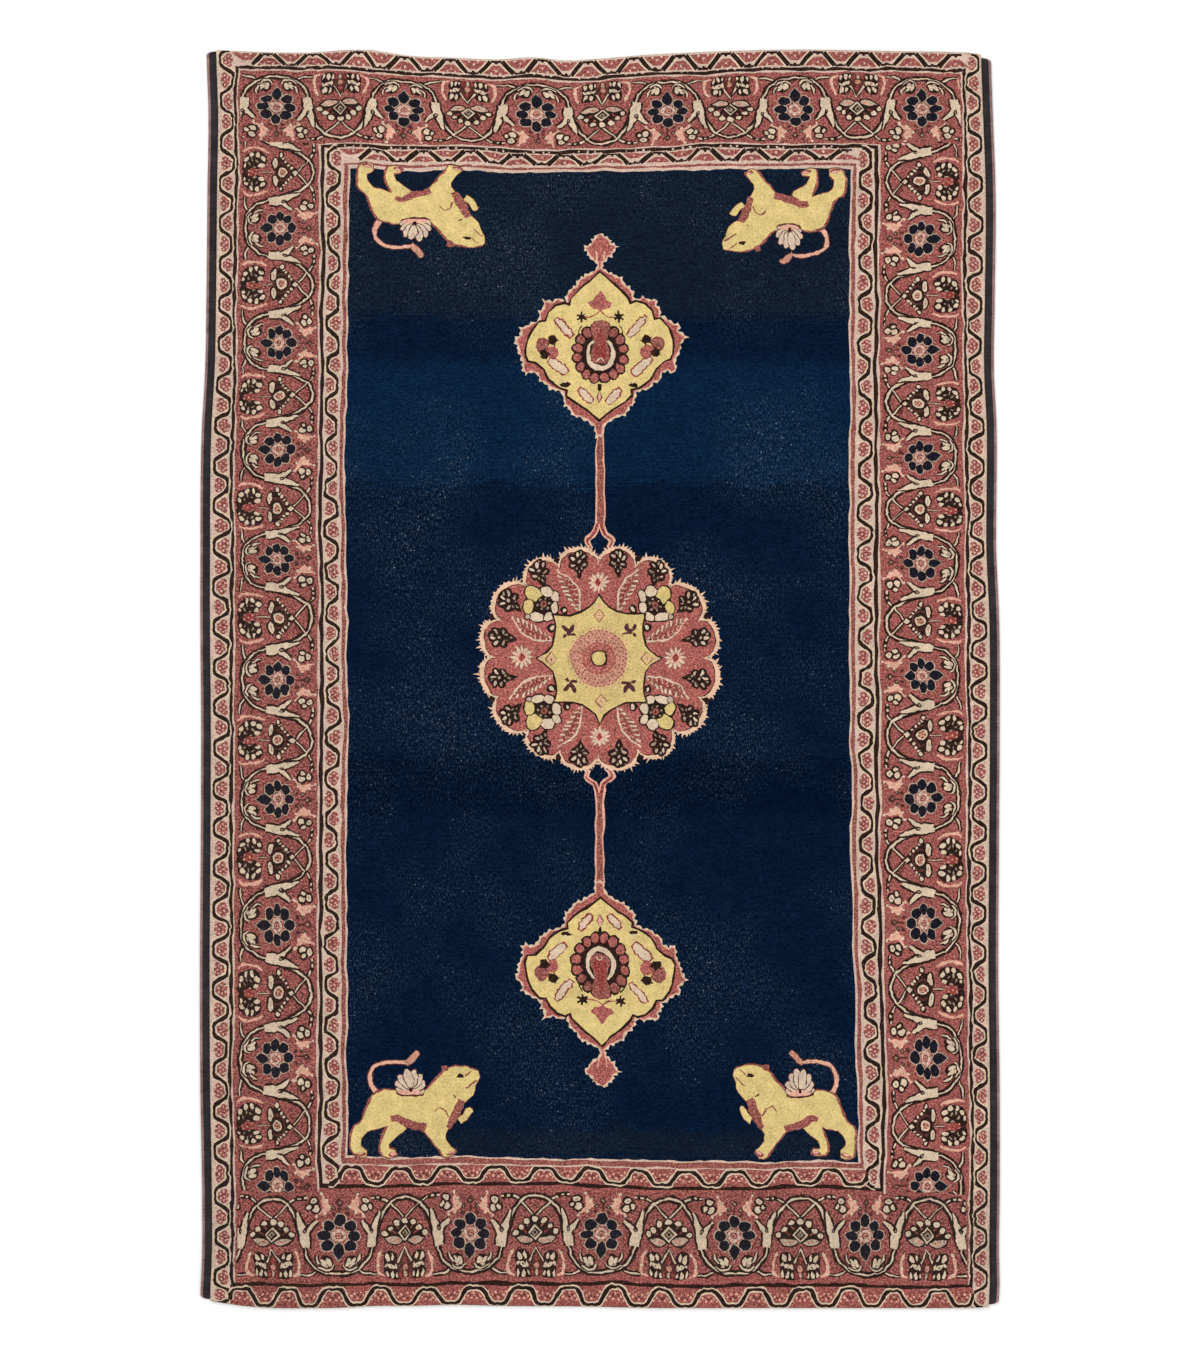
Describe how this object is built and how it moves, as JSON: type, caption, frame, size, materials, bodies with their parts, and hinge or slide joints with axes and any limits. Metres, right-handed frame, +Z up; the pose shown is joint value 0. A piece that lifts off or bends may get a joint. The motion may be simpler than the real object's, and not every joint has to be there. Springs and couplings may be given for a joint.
{
  "type": "hand-knotted wool rug",
  "caption": "Flat rectangular hand-knotted wool rug with medallion, lions and flower borders, and an overcast edge along each long side.",
  "frame": {"origin": "middle of the underside, on the surface the rug lies on", "axes": "+Z up out of the pile, +Y along the rug to the end at the top of the picture, +X to the right seen from above"},
  "size_m": [1.3213, 2.0764, 0.007],
  "materials": {
    "wool_pile": "matt knotted wool pile in rose, navy, cream, gold and black-brown",
    "overcast_wool": "tightly wrapped dark wool with a mauve-brown outer cord"
  },
  "bodies": {
    "root": {"rug_body": "wool_pile", "selvedge_left": "overcast_wool", "selvedge_right": "overcast_wool"}
  },
  "joints": []
}
